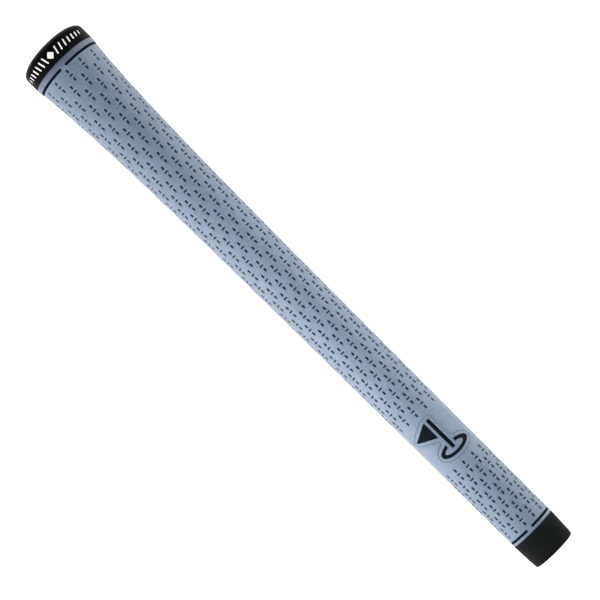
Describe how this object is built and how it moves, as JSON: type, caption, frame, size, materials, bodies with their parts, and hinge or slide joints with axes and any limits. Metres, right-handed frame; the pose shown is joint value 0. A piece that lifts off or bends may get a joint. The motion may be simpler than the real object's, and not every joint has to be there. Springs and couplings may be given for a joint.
{
  "type": "golf grip",
  "caption": "Round tapered slip-on golf grip in moulded rubber, with staggered traction marks, broken rings, a flag emblem, a vented butt cap and a black tip collar.",
  "frame": {"origin": "centre of the mouth, where the shaft enters the bore", "axes": "+X along the bore to the butt cap, +Z to the side with the emblem"},
  "size_m": [0.265, 0.0284, 0.0286],
  "materials": {
    "skin_rubber": "matt blue-grey rubber with a fine grain",
    "core_rubber": "matt black rubber",
    "cap_rubber": "satin black hard rubber",
    "collar_rubber": "satin black rubber",
    "black_paint": "matt blue-black paint",
    "emblem_paint": "satin black paint",
    "white_paint": "matt white paint"
  },
  "bodies": {
    "root": {"core_sleeve": "core_rubber", "grip_skin": "skin_rubber", "tip_collar": "collar_rubber", "butt_cap": "cap_rubber", "butt_ring_left": "black_paint", "butt_ring_right": "black_paint", "tip_ring_left": "black_paint", "tip_ring_right": "black_paint", "emblem_pole": "emblem_paint", "emblem_pennant": "emblem_paint", "emblem_cup": "emblem_paint", "cap_lozenge": "white_paint", "cap_bars": "white_paint"}
  },
  "joints": []
}
